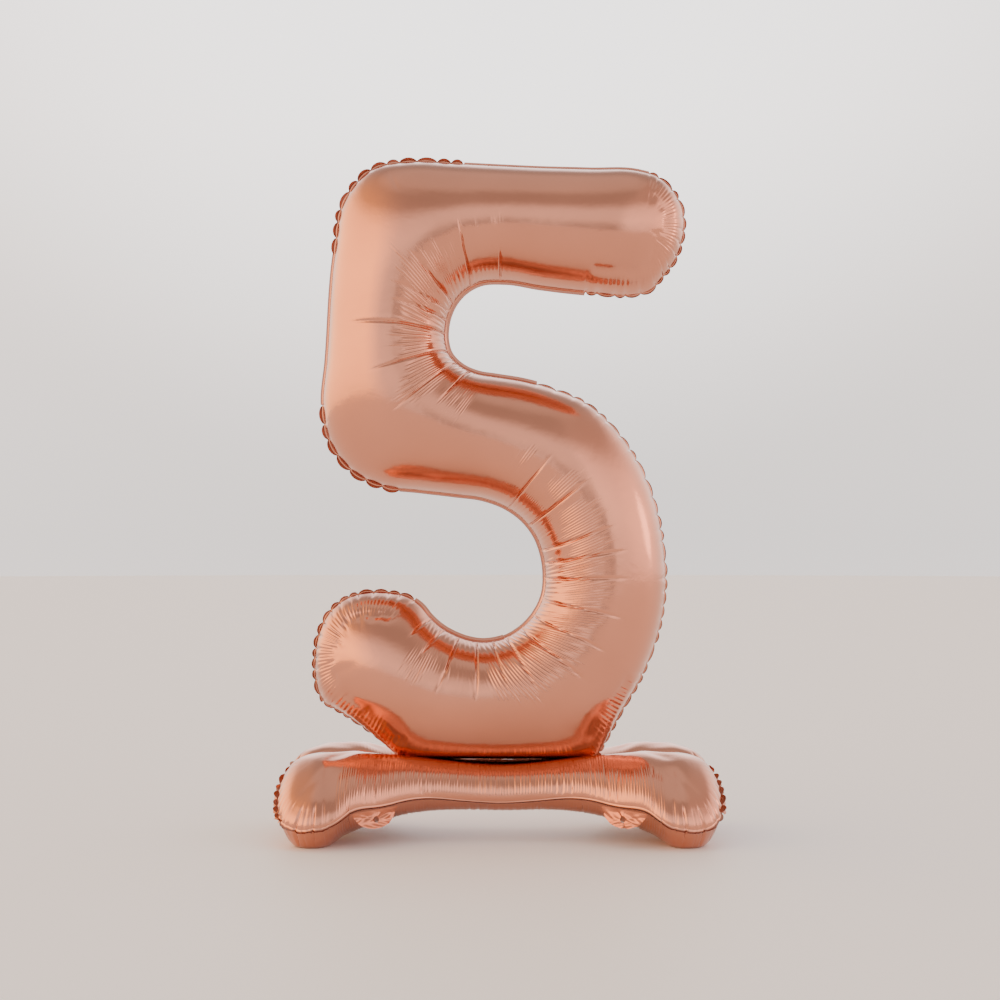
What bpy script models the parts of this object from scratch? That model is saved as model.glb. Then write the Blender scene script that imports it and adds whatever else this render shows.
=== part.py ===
"""Self-standing foil numeral "5" on an air-filled foil foot.

Metres, +Z up, the front faces -Y.  The origin is on the floor under the middle of the foot.
The numeral is two shaped films sealed round the rim; the foot is a front and a rear
cushion, each of two films, which meet along one centre line and splay outwards to the floor.
Film is drawn thicker than the real 0.04 mm sheet so that every piece is a closed solid.
"""

import math

import bmesh
import bpy
import numpy as np

MM = 0.001
FILM = 0.8 * MM            # drawn thickness of every film
SEAM_GAP = 0.5 * MM        # gap between the two films of one seam
FLANGE = 5.0 * MM          # width of the flat sealed rim outside the weld line

NUMERAL_STEP = 17 * MM     # length of one facet along the numeral's stroke
NUMERAL_ACROSS = 6         # facets across the stroke, even
FOOT_STEP = 15 * MM
FOOT_ACROSS = 6

WELD_Z = 83.5 * MM         # height of the line where the foot's four films meet
LEAN_Z = 83.7 * MM         # axis the numeral rocks about
NUMERAL_SAG = 4.5 * MM     # how far the full films hang below the weld line at the foot
NUMERAL_FOOT_Z = 84.4 * MM  # lowest edge of the numeral's rim
STRIP_HALF = 0.5 * MM      # half thickness of the weld strips on the centre line
STRIP_DROP = 6.0 * MM      # how far the strips reach down between the cushions
NECK_HALF_LENGTH = 108 * MM
CENTRE_SEAM = (113.5 * MM, 208 * MM)   # inner and outer end of each free centre seam
CENTRE_SEAM_RISE = 3.0 * MM
CENTRE_CLEAR = 1.0 * MM    # the cushions' inner films lie flat this far from the mid plane
NECK_EDGE = 2.4 * MM       # distance of a cushion's inner edge from the weld line

TAB_ROOT = ((107.5, -80.8, 42.9), (153.5, -110.5, 38.0))  # mm, ends of a hang tab's fold line
TAB_THICK = 0.6 * MM
TAB_DEPTH = 20 * MM
TAB_HOLE_RADIUS = 3.6 * MM
TAB_HOLE_DROP = 10 * MM

VALVE_FILM = 0.4 * MM
NUMERAL_VALVE = (14 * MM, 62 * MM)     # width and length of the inner sleeve
FOOT_VALVE = (12 * MM, 34 * MM)

# Numeral weld line, mm (x, z).  Each gate crosses the stroke: heel-side edge, bay-side edge.
# The stroke runs from the free end of the top bar to the tip of the lower hook.
NUMERAL_GATES = [
    ((153, 726), (149, 594)), ((99, 728), (99, 596)), ((44, 729.5), (45, 602)),
    ((0, 731.5), (6, 608)), ((-50, 734), (-22, 606)), ((-96, 736), (-38.5, 597)),
    ((-140, 727), (-49.5, 585)), ((-168, 695), (-56.5, 571)), ((-178.5, 641), (-59.5, 559)),
    ((-188, 520), (-59.5, 538)), ((-192, 471), (-56, 527)), ((-185, 433), (-49, 518)),
    ((-160.5, 400), (-38, 510)), ((-128, 384), (-24, 504.5)), ((-87, 378.5), (-3, 501)),
    ((-49, 374), (27, 496)), ((-17, 369.5), (61, 486)), ((8, 360), (95, 471)),
    ((27, 346), (124, 445)), ((40, 329), (148, 411.5)), ((48, 308), (166, 371)),
    ((51, 285), (177, 322)), ((49, 263), (180, 274)), ((39, 242), (173, 226)),
    ((24, 226), (155.5, 178)), ((5, 215), (131, 134.5)), ((-7, 212), (106.5, 89.4)),
    ((-18, 211), (60, 89.4)), ((-28, 212), (11, 89.4)), ((-40, 215), (-40, 89.4)),
    ((-52, 220), (-106, 89.4)), ((-64, 227), (-129, 107)), ((-76, 237.5), (-153, 124)),
    ((-87.5, 251), (-175, 138)), ((-103, 260.5), (-191, 148)),
]
NUMERAL_HOOK_END = [(-121, 264), (-147, 264), (-168, 257.5), (-184.5, 244), (-195, 224),
                    (-200.5, 196), (-199.5, 170), (-195.5, 155)]
NUMERAL_BAR_END = [(163, 597.5), (177.5, 613), (190.5, 630), (197.5, 649), (200.5, 668),
                   (198, 687), (187.5, 706.5), (171, 720.5)]
NUMERAL_CORNERS = {(106.5, 89.4), (-106, 89.4)}

# Cushion weld line, right half, mm: x along the foot, w down the slope from the centre line.
FOOT_OUTER = [(0, 66), (40, 67), (80, 72), (109, 84.5), (132, 98.5), (156, 113),
              (170, 126), (187, 134)]
FOOT_INNER_X = [0, 40, 78, 105, 128, 150, 167, 187]
FOOT_PAW_END = [(206, 132), (222, 121), (231, 100), (234, 72), (232, 42), (223, 16), (209, 4)]
# Slope of the weld plane along x mm, degrees.
FOOT_SLOPE = [(0, 37.0), (110, 26.0), (150, 22.5), (185, 26.5), (215, 28.5), (240, 29.5)]
# How full each film stands along x mm, as a factor on the free membrane's height.
FOOT_TOP_FULL = [(0, 0.56), (70, 0.58), (120, 0.60), (165, 0.66), (200, 0.72), (240, 0.78)]
FOOT_BOTTOM_FULL = [(0, 0.98), (70, 0.97), (120, 0.88), (160, 1.0), (200, 1.36), (240, 1.7)]
REAR_TOP_EXTRA = [(90, 1.0), (160, 1.14)]  # the rear cushion's lobes stand a little higher


def material(name, colour, metallic, roughness):
    """One Principled material."""
    mat = bpy.data.materials.new(name)
    mat.use_nodes = True
    shader = mat.node_tree.nodes["Principled BSDF"]
    shader.inputs["Base Color"].default_value = (*colour, 1.0)
    shader.inputs["Metallic"].default_value = metallic
    shader.inputs["Roughness"].default_value = roughness
    mat.diffuse_color = (*colour, 1.0)
    return mat


def add_object(name, verts, faces, mat, origin=(0.0, 0.0, 0.0), smooth=True):
    """Closed mesh object with its faces turned outwards."""
    mesh = bpy.data.meshes.new(name)
    shift = np.asarray(origin, float)
    mesh.from_pydata([tuple(np.asarray(v, float) - shift) for v in verts], [], faces)
    bm = bmesh.new()
    bm.from_mesh(mesh)
    bmesh.ops.recalc_face_normals(bm, faces=bm.faces)
    if bm.calc_volume(signed=True) < 0:
        bmesh.ops.reverse_faces(bm, faces=bm.faces)
    bm.to_mesh(mesh)
    bm.free()
    for polygon in mesh.polygons:
        polygon.use_smooth = smooth
    mesh.materials.append(mat)
    obj = bpy.data.objects.new(name, mesh)
    obj.location = tuple(shift)
    bpy.context.scene.collection.objects.link(obj)
    return obj


def ramp(x, table):
    """Smooth interpolation of a short (position, value) table."""
    xs = np.array([p[0] for p in table], float)
    ys = np.array([p[1] for p in table], float)
    i = np.clip(np.searchsorted(xs, x, side="right") - 1, 0, len(xs) - 2)
    t = np.clip((x - xs[i]) / (xs[i + 1] - xs[i]), 0.0, 1.0)
    t = t * t * (3.0 - 2.0 * t)
    return ys[i] + (ys[i + 1] - ys[i]) * t


class Loop:
    """Closed smooth curve through points, with optional sharp corners."""

    def __init__(self, points, corners=()):
        self.p = np.array(points, float)
        step = np.roll(self.p, -1, 0) - self.p
        self.length = np.linalg.norm(step, axis=1)
        after = step / self.length[:, None]
        before = np.roll(after, 1, 0)
        d0, d1 = np.roll(self.length, 1), self.length
        mean = (before * d1[:, None] + after * d0[:, None]) / (d0 + d1)[:, None]
        sharp = np.array([tuple(q) in corners for q in points])[:, None]
        self.leave = np.where(sharp, after, mean)
        self.arrive = np.where(sharp, before, mean)

    def at(self, i, f):
        """Point at fraction f of the span that starts at knot i."""
        j = (i + 1) % len(self.p)
        d = self.length[i]
        h00, h10 = 2 * f**3 - 3 * f**2 + 1, f**3 - 2 * f**2 + f
        h01, h11 = -2 * f**3 + 3 * f**2, f**3 - f**2
        return (h00 * self.p[i] + h10 * d * self.leave[i]
                + h01 * self.p[j] + h11 * d * self.arrive[j])


def stroke_grid(gates, hook, bar, corners, step, across):
    """Facets over a stroke-shaped outline.

    Rows of points cross the stroke; each rounded end is a fan of rays about the middle of
    the last row.  Returns points, faces and the boundary's point numbers in loop order.
    """
    n = len(gates)
    loop = Loop([g[0] for g in gates] + hook + [g[1] for g in gates][::-1] + bar, corners)
    total = len(loop.p)
    points, faces = [], []

    def add(p):
        points.append(p)
        return len(points) - 1

    t = [(1 - math.cos(math.pi * j / across)) / 2 for j in range(across + 1)]
    rows = []
    for i in range(n - 1):
        back = 2 * n - 2 + len(hook) - i      # span of the other edge, walked backwards
        pieces = max(1, round(max(loop.length[i], loop.length[back]) / step))
        for k in range(pieces + (i == n - 2)):
            a, b = loop.at(i, k / pieces), loop.at(back, 1 - k / pieces)
            rows.append([add(a + (b - a) * s) for s in t])
    for r0, r1 in zip(rows, rows[1:]):
        for j in range(across):
            faces.append((r0[j], r1[j], r1[j + 1], r0[j + 1]))

    half = across // 2

    def fan(first, count, start, finish, centre):
        """Rays from the boundary spans first..first+count-1 to the centre."""
        rays = [start]
        for i in range(first, first + count):
            pieces = max(1, round(loop.length[i % total] / step))
            for k in range(pieces):
                if i > first or k > 0:
                    b = loop.at(i % total, k / pieces)
                    c = points[centre]
                    rays.append([add(b + (c - b) * 2 * s) for s in t[:half]])
        rays.append(finish)
        for r0, r1 in zip(rays, rays[1:]):
            for j in range(half - 1):
                faces.append((r0[j], r1[j], r1[j + 1], r0[j + 1]))
            faces.append((r0[half - 1], r1[half - 1], centre))
        return [r[0] for r in rays[1:-1]]

    last, head = rows[-1], rows[0]
    hook_rim = fan(n - 1, len(hook) + 1, last[:half], last[:half:-1], last[half])
    bar_rim = fan(total - 1 - len(bar), len(bar) + 1, head[:half:-1], head[:half], head[half])
    rim = [r[0] for r in rows] + hook_rim + [r[-1] for r in rows[::-1]] + bar_rim
    return np.array(points) * MM, faces, rim


def bulge(points, faces, rim):
    """Height of the air-filled film: root of the solution of a loaded membrane."""
    count = len(points)
    stiff, load = np.zeros((count, count)), np.zeros(count)
    for face in faces:
        for k in range(1, len(face) - 1):
            tri = (face[0], face[k], face[k + 1])
            p = points[list(tri)]
            e = np.array([p[2] - p[1], p[0] - p[2], p[1] - p[0]])
            area = abs(e[0][0] * e[1][1] - e[0][1] * e[1][0]) / 2
            stiff[np.ix_(tri, tri)] += e @ e.T / (4 * area)
            load[list(tri)] += 2 * area / 3
    inner = np.setdiff1d(np.arange(count), rim)
    u = np.zeros(count)
    u[inner] = np.linalg.solve(stiff[np.ix_(inner, inner)], load[inner])
    return np.sqrt(np.maximum(u, 0))


def add_flange(points, faces, rim, width):
    """Flat ring outside the weld line; width may differ from point to point."""
    loop = points[rim]
    along = np.roll(loop, -1, 0) - np.roll(loop, 1, 0)
    out = np.stack([along[:, 1], -along[:, 0]], 1)
    out /= np.linalg.norm(out, axis=1)[:, None]
    area = np.sum(loop[:, 0] * np.roll(loop[:, 1], -1) - np.roll(loop[:, 0], -1) * loop[:, 1])
    edge = loop + out * (np.sign(area) * np.asarray(width))[:, None]
    start = len(points)
    ring = list(range(start, start + len(rim)))
    size = len(rim)
    extra = [(rim[i], ring[i], ring[(i + 1) % size], rim[(i + 1) % size]) for i in range(size)]
    return np.vstack([points, edge]), faces + extra, ring


def facing(p, faces, lift):
    """Unit normals at the points, turned the way lift points."""
    normal = np.zeros_like(p)
    for face in faces:
        a, b, c = (p[i] for i in face[:3])
        cross = np.cross(c - a, (p[face[3]] if len(face) == 4 else a) - b)
        normal[list(face)] += cross
    length = np.linalg.norm(normal, axis=1)
    normal = np.where((length < 1e-12)[:, None], lift, normal)
    normal /= np.linalg.norm(normal, axis=1)[:, None]
    return normal * np.sign(np.sum(normal * lift))


def skin(points, faces, ring, height, place, limit):
    """Film solid over the grid: outside at height, inside one film thickness below.

    place() carries (a, b, height) to space, limit() keeps points on their side of a plane.
    """
    top = np.column_stack([points, height + SEAM_GAP / 2 + FILM])
    outer = limit(place(top), 0.0)
    lift = place(top + np.array([0, 0, 1e-4])) - place(top)
    under = limit(outer - facing(outer, faces, lift) * FILM, FILM)
    flat = height <= 0
    under[flat] = limit(place(top - np.array([0, 0, FILM])), FILM)[flat]
    size, n = len(outer), len(ring)
    walls = [(ring[(i + 1) % n], ring[i], ring[i] + size, ring[(i + 1) % n] + size)
             for i in range(n)]
    solid = [tuple(f) for f in faces] + [tuple(i + size for i in f[::-1]) for f in faces] + walls
    return np.vstack([outer, under]), solid


def build_numeral(mat_front, mat_back):
    """Front and back film of the numeral."""
    grid = stroke_grid(NUMERAL_GATES, NUMERAL_HOOK_END, NUMERAL_BAR_END, NUMERAL_CORNERS,
                       NUMERAL_STEP / MM, NUMERAL_ACROSS)
    points, faces, rim = grid
    height = bulge(points, faces, rim)
    points, faces, ring = add_flange(points, faces, rim, np.full(len(rim), FLANGE))
    height = np.concatenate([height, np.zeros(len(ring))])
    points[:, 1] = np.maximum(points[:, 1], NUMERAL_FOOT_Z)
    for name, side, mat in (("number_front_foil", -1, mat_front),
                            ("number_back_foil", 1, mat_back)):
        def place(q, side=side):
            low = 1 - ramp((q[:, 1] - NUMERAL_FOOT_Z) / MM, [(0, 0.0), (60, 1.0)])
            sag = NUMERAL_SAG * low * ramp(q[:, 2] / MM, [(2, 0.0), (30, 1.0)])
            return np.column_stack([q[:, 0], side * q[:, 2], q[:, 1] - sag])

        verts, solid = skin(points, faces, ring, height, place, lambda p, t: p)
        add_object(name, verts, solid, mat, (0, 0, LEAN_Z))


def foot_outline():
    """Gates and end arcs of one cushion, mirrored about the middle."""
    right = [((x, w), (ix, NECK_EDGE / MM)) for (x, w), ix in zip(FOOT_OUTER, FOOT_INNER_X)]
    left = [((-x, w), (-ix, e)) for (x, w), (ix, e) in right[:0:-1]]
    right_end = FOOT_PAW_END
    left_end = [(-x, w) for x, w in FOOT_PAW_END[::-1]]
    return left + right, right_end, left_end


def foot_place(side, film):
    """Map (x, w, height) of a cushion to space; film is +1 for the upper, -1 for the lower."""
    def place(q):
        x, w, h = q[:, 0], q[:, 1], q[:, 2] * film
        tilt = np.radians(ramp(np.abs(x) / MM, FOOT_SLOPE))
        out = w * np.cos(tilt) + h * np.sin(tilt)
        up = WELD_Z - w * np.sin(tilt) + h * np.cos(tilt)
        return np.column_stack([x, side * out, up])
    return place


def foot_limit(side):
    """Lower films stay above the floor and on their own side of the mid plane."""
    def limit(p, inset):
        q = p.copy()
        q[:, 2] = np.maximum(q[:, 2], inset)
        q[:, 1] = side * np.maximum(side * q[:, 1], CENTRE_CLEAR + inset)
        return q
    return limit


def build_foot(mats):
    """Upper and lower film of the front and the rear cushion."""
    gates, right_end, left_end = foot_outline()
    points, faces, rim = stroke_grid(gates, right_end, left_end, set(), FOOT_STEP / MM,
                                     FOOT_ACROSS)
    height = bulge(points, faces, rim)
    x, w = np.abs(points[:, 0]) / MM, points[:, 1] / MM
    near_neck = np.clip((w - NECK_EDGE / MM) / 26.0, 0.0, 1.0)
    pinch = 1 - (1 - np.sqrt(near_neck)) * ramp(x, [(0, 0.85), (110, 0.8), (160, 0.35), (240, 0.0)])
    height = height * pinch
    width = FLANGE * ramp(points[rim][:, 1] / MM, [(0, 0.04), (6, 0.1), (30, 1.0), (200, 1.0)])
    points, faces, ring = add_flange(points, faces, rim, width)
    height = np.concatenate([height, np.zeros(len(ring))])
    x = np.abs(points[:, 0]) / MM
    for end, side in (("front", -1), ("rear", 1)):
        for film, label in ((1, "top"), (-1, "bottom")):
            full = ramp(x, FOOT_TOP_FULL if film > 0 else FOOT_BOTTOM_FULL)
            if film > 0 and side > 0:
                full = full * ramp(x, REAR_TOP_EXTRA)
            name = f"{end}_base_{label}_foil"
            verts, solid = skin(points, faces, ring, height * full, foot_place(side, film),
                                foot_limit(side))
            add_object(name, verts, solid, mats[name])


def box(name, low, high, mat, origin=(0.0, 0.0, 0.0)):
    """Plain rectangular strip."""
    verts = [(x, y, z) for x in (low[0], high[0]) for y in (low[1], high[1])
             for z in (low[2], high[2])]
    faces = [(0, 1, 3, 2), (4, 6, 7, 5), (0, 4, 5, 1), (2, 3, 7, 6), (0, 2, 6, 4), (1, 5, 7, 3)]
    return add_object(name, verts, faces, mat, origin, smooth=False)


def build_strips(mats):
    """Weld strips on the centre line."""
    low, high = WELD_Z - STRIP_DROP, LEAN_Z - 0.1 * MM
    box("neck_weld_strip", (-NECK_HALF_LENGTH, -STRIP_HALF, low),
        (NECK_HALF_LENGTH, STRIP_HALF, high), mats["neck_weld_strip"])
    for name, sign in (("base_centre_seam_left", -1), ("base_centre_seam_right", 1)):
        ends = sorted((sign * CENTRE_SEAM[0], sign * CENTRE_SEAM[1]))
        box(name, (ends[0], -STRIP_HALF, low), (ends[1], STRIP_HALF, WELD_Z + CENTRE_SEAM_RISE),
            mats[name])


def build_tab(name, sign, side, mat):
    """Half-round film tab with a punched hole, hanging from its fold line."""
    a, b = (np.array(p, float) * MM for p in TAB_ROOT)
    a, b = (p * np.array([sign, -side, 1.0]) for p in (a, b))
    middle, along = (a + b) / 2, b - a
    half = np.linalg.norm(along) / 2
    along /= 2 * half
    down = np.array([0, 0, -1.0])
    down -= along * (down @ along)
    down /= np.linalg.norm(down)
    thick = np.cross(along, down) * TAB_THICK / 2
    rim_angle = [math.pi * k / 20 for k in range(21)]
    rim = [(-half * math.cos(t), TAB_DEPTH * math.sin(t)) for t in rim_angle]
    rim += [(half * (1 - k / 6), 0.0) for k in range(1, 6)]
    hole = []
    for u, v in rim:
        t = math.atan2(v - TAB_HOLE_DROP, u)
        hole.append((TAB_HOLE_RADIUS * math.cos(t), TAB_HOLE_DROP + TAB_HOLE_RADIUS * math.sin(t)))
    size = len(rim)
    verts = [middle + along * u + down * v + thick * s
             for s in (1, -1) for u, v in rim + hole]
    faces = []
    for i in range(size):
        j = (i + 1) % size
        faces.append((i, j, size + j, size + i))
        faces.append((2 * size + j, 2 * size + i, 3 * size + i, 3 * size + j))
        faces.append((j, i, 2 * size + i, 2 * size + j))
        faces.append((size + i, size + j, 3 * size + j, 3 * size + i))
    return add_object(name, verts, faces, mat, middle, smooth=False)


def build_tabs(mats):
    for end, side in (("front", -1), ("rear", 1)):
        for label, sign in (("left", -1), ("right", 1)):
            name = f"{end}_{label}_hang_tab"
            build_tab(name, sign, side, mats[name])


def build_valves(mats):
    """Two-film self-sealing sleeves that lie inside the air space."""
    width, length = NUMERAL_VALVE
    low = 97 * MM
    near, far = 0.3 * MM, 0.3 * MM + VALVE_FILM
    centre = -70 * MM
    box("number_valve_front_film", (centre - width / 2, -far, low),
        (centre + width / 2, -near, low + length), mats["number_valve_front_film"], (0, 0, LEAN_Z))
    box("number_valve_back_film", (centre - width / 2, near, low),
        (centre + width / 2, far, low + length), mats["number_valve_back_film"], (0, 0, LEAN_Z))
    width, length = FOOT_VALVE
    for name, film in (("base_valve_top_film", 1), ("base_valve_bottom_film", -1)):
        place = foot_place(1, film)
        corners = [(x, w, h) for x in (186 * MM, 186 * MM + width)
                   for w in (88 * MM, 88 * MM + length) for h in (near, far)]
        verts = place(np.array(corners))
        faces = [(0, 1, 3, 2), (4, 6, 7, 5), (0, 4, 5, 1), (2, 3, 7, 6), (0, 2, 6, 4), (1, 5, 7, 3)]
        add_object(name, verts, faces, mats[name], smooth=False)


def build():
    for obj in list(bpy.data.objects):
        bpy.data.objects.remove(obj, do_unlink=True)
    names = ["number_front_foil", "number_back_foil", "neck_weld_strip",
             "front_base_top_foil", "front_base_bottom_foil",
             "rear_base_top_foil", "rear_base_bottom_foil",
             "base_centre_seam_left", "base_centre_seam_right",
             "front_left_hang_tab", "front_right_hang_tab",
             "rear_left_hang_tab", "rear_right_hang_tab"]
    foil = (0.72, 0.36, 0.26)
    mats = {n: material(n, foil, 1.0, 0.22) for n in names}
    for n in ("number_valve_front_film", "number_valve_back_film",
              "base_valve_top_film", "base_valve_bottom_film"):
        mats[n] = material(n, (0.85, 0.84, 0.82), 0.0, 0.35)
    build_numeral(mats["number_front_foil"], mats["number_back_foil"])
    build_foot(mats)
    build_strips(mats)
    build_tabs(mats)
    build_valves(mats)


build()
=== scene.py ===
"""Looks of the self-standing foil numeral: crinkled rose-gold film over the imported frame."""

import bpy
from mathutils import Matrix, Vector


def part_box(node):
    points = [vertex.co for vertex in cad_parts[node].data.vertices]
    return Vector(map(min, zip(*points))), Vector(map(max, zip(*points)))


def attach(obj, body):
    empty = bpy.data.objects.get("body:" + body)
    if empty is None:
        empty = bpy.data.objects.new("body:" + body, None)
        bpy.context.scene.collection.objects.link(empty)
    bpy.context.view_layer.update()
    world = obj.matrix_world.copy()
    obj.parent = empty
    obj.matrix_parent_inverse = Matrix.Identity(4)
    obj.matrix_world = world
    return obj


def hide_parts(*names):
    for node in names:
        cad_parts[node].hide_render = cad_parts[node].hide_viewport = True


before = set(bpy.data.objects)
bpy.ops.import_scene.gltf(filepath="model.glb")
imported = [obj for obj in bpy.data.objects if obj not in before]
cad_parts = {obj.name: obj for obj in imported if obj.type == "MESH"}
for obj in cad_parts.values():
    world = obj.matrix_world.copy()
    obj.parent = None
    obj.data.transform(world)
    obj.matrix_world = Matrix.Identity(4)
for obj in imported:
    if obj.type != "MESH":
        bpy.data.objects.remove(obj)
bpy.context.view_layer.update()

import math

import bpy
import numpy as np
from mathutils import Vector

MM = 0.001
FLANGE = 3.2 * MM          # width of the flat sealed rim
FLANGE_ROWS = (0.35, 0.7, 1.0)
RUFFLE = 1.6 * MM          # how far the rim's edge waves out of its plane
RIM_OUT = 1.8 * MM         # how far the film stands out past its weld line
RIM_FADE = 9 * MM
FILM_GAP = 0.15 * MM       # each film's rim lies this far from the weld plane
NUMERAL_ACROSS = 40        # facets across a tube, even
FOOT_ACROSS = 34
FAN_STEP = 1.1             # facet length around a tube's end, mm
OUT_OF_REACH = 9.0         # a distance, in metres, that no search prefers
FIND_REACH = 60 * MM       # how far along the weld line a search looks

# A wrinkle fades out where the spokes crowd to less than this share of their first spacing.
CROWDED = 0.3
# Facets beside a long crease: how far they are felt, where they stop, and how fast they fade.
FACET_REACH = 26 * MM
FACET_END = 24 * MM
FACET_FADE = 6 * MM
# Unevenness of a row of pleats, as shares of the mean: from pleat to pleat, then along the row.
PITCH_JITTER = (0.84, 1.2)
SIZE_JITTER = (0.75, 1.15)
START_JITTER = (0.88, 1.2)
END_JITTER = (0.86, 1.08)
ROW_SIZE_JITTER = (0.6, 1.2)
ROW_END_JITTER = (0.8, 1.08)
ROW_END_FADE = 8 * MM
# Puckered band behind a gathered rim: its pleats, then the puff, then the fold that ends it.
GATHER_PITCH = 4.6 * MM
GATHER_START = 20 * MM
GATHER_STOP = 49 * MM
PUFF_DEPTH = 29            # mm
PUFF_WIDTH = 12.0
FOLD_DEPTH = 46            # mm
FOLD_WIDTH = 3.2

WELD_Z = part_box("base_centre_seam_left")[1][2] - 3.0 * MM
NECK_EDGE = 2.4 * MM
NUMERAL_FOOT_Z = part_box("number_front_foil")[0][2]
NUMERAL_SAG = 9.0 * MM     # droop of the filled underside onto the foot
# Rise of the lowest allowed point with distance from the weld plane, by side.
NUMERAL_CLEAR_SLOPE = {-1: 0.09, 1: 0.13}

# Numeral weld line, mm (x, z), as in the CAD: both edges of the stroke at each gate, from the
# top bar's tip round to the hook's.
NUMERAL_GATES = [
    ((153, 726), (149, 594)), ((99, 728), (99, 596)), ((44, 729.5), (45, 602)),
    ((0, 731.5), (6, 608)), ((-50, 734), (-22, 606)), ((-96, 736), (-38.5, 597)),
    ((-140, 727), (-49.5, 585)), ((-168, 695), (-56.5, 571)), ((-178.5, 641), (-59.5, 559)),
    ((-188, 520), (-59.5, 538)), ((-192, 471), (-56, 527)), ((-185, 433), (-49, 518)),
    ((-160.5, 400), (-38, 510)), ((-128, 384), (-24, 504.5)), ((-87, 378.5), (-3, 501)),
    ((-49, 374), (27, 496)), ((-17, 369.5), (61, 486)), ((8, 360), (95, 471)),
    ((27, 346), (124, 445)), ((40, 329), (148, 411.5)), ((48, 308), (166, 371)),
    ((51, 285), (177, 322)), ((49, 263), (180, 274)), ((39, 242), (173, 226)),
    ((24, 226), (155.5, 178)), ((5, 215), (131, 134.5)), ((-7, 212), (106.5, 89.4)),
    ((-18, 211), (60, 89.4)), ((-28, 212), (11, 89.4)), ((-40, 215), (-40, 89.4)),
    ((-52, 220), (-106, 89.4)), ((-64, 227), (-129, 107)), ((-76, 237.5), (-153, 124)),
    ((-87.5, 251), (-175, 138)), ((-103, 260.5), (-191, 148)),
]
NUMERAL_HOOK_END = [(-121, 264), (-147, 264), (-168, 257.5), (-184.5, 244), (-195, 224),
                    (-200.5, 196), (-199.5, 170), (-195.5, 155)]
NUMERAL_BAR_END = [(163, 597.5), (177.5, 613), (190.5, 630), (197.5, 649), (200.5, 668),
                   (198, 687), (187.5, 706.5), (171, 720.5)]
NUMERAL_CORNERS = {(106.5, 89.4), (-106, 89.4)}
# Facet length along the stroke, mm, from each gate on.
NUMERAL_STEPS = {0: 1.5, 3: 0.9, 4: 0.62, 15: 0.85, 17: 0.62, 31: 0.9}

# Cushion weld line, right half, mm: x along the foot, w down the slope from the centre line.
# Gates on both edges, then the rounded end of a paw.
FOOT_OUTER = [(0, 66), (40, 67), (80, 72), (109, 84.5), (132, 98.5), (156, 113),
              (170, 126), (187, 134)]
FOOT_INNER_X = [0, 40, 78, 105, 128, 150, 167, 187]
FOOT_PAW_END = [(206, 132), (222, 121), (231, 100), (234, 72), (232, 42), (223, 16), (209, 4)]
# By distance from the middle, mm: slope in degrees, and fullness of the films.
FOOT_SLOPE = [(0, 37.0), (110, 26.0), (150, 22.5), (185, 26.5), (215, 28.5), (240, 29.5)]
FOOT_TOP_FULL = [(0, 0.56), (70, 0.58), (120, 0.60), (165, 0.66), (200, 0.72), (240, 0.78)]
FOOT_BOTTOM_FULL = [(0, 0.98), (70, 0.97), (120, 0.88), (160, 1.0), (200, 1.36), (240, 1.7)]
REAR_TOP_EXTRA = [(115, 1.0), (170, 1.14)]
CENTRE_CLEAR = 1.0 * MM    # space kept free on each side of the foot's centre line
FOOT_STEPS = {0: 0.9}
FOOT_PINCH = [(0, 0.85), (110, 0.8), (160, 0.35), (240, 0.0)]
FOOT_PINCH_REACH = 26.0
FOOT_RIM_WIDTH = [(0, 0.04), (6, 0.1), (30, 1.0), (200, 1.0)]

# Long creases of the numeral, mm (x, z): from beside a concave edge to their outer end.
LONG_CREASES = [
    ((-30, 599), (-44, 667)), ((-55, 590), (-96, 630)), ((-60, 580), (-114, 594)),
    ((-66, 572), (-118, 578)), ((-67, 551), (-160, 555)), ((-69, 526), (-136, 505)),
    ((-55, 512), (-112, 462)), ((-42, 500), (-64, 470)), ((0, 616), (0, 640)),
    ((16, 366), (52, 411)), ((38, 345), (95, 388)), ((56, 318), (123, 338)),
    ((57, 302), (131, 310)), ((59, 284), (134, 281)), ((56, 260), (131, 238)),
    ((50, 240), (116, 201)), ((41, 222), (91, 171)), ((16, 213), (43, 148)),
    ((0, 205), (6, 160)), ((-21, 204), (-29, 153)), ((-45, 208), (-69, 164)),
    ((-62, 220), (-90, 196)), ((-79, 230), (-98, 220)),
]

# Fine pleats on concave edges: from, to, pitch at the edge, depth, band start, band end.
NUMERAL_PLEATS = [
    ((-38, 508), (-22, 606), 1.95, 1.15, 40, 112),
    ((-22, 606), (6, 608), 2.1, 1.1, 42, 104),
    ((6, 608), (60, 601), 3.2, 0.5, 46, 92),
    ((-3, 501), (-38, 508), 2.4, 1.0, 42, 98),
    ((8, 360), (-28, 212), 2.0, 1.1, 42, 110),
    ((-28, 212), (-76, 237.5), 2.2, 0.95, 40, 96),
    ((-76, 237.5), (-100, 259), 3.0, 0.5, 26, 52),
    ((-36, 372), (8, 360), 2.5, 1.0, 44, 104),
]
PLEAT_DEPTH = 0.85         # share of the listed depth
PLEAT_START = 8            # the bands start this far past the listed start, mm
# Coarse pleats close to the two bays: from, to.
BAY_EDGES = [((-24, 504.5), (20, 606)), ((0, 365), (-76, 237.5))]
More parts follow.
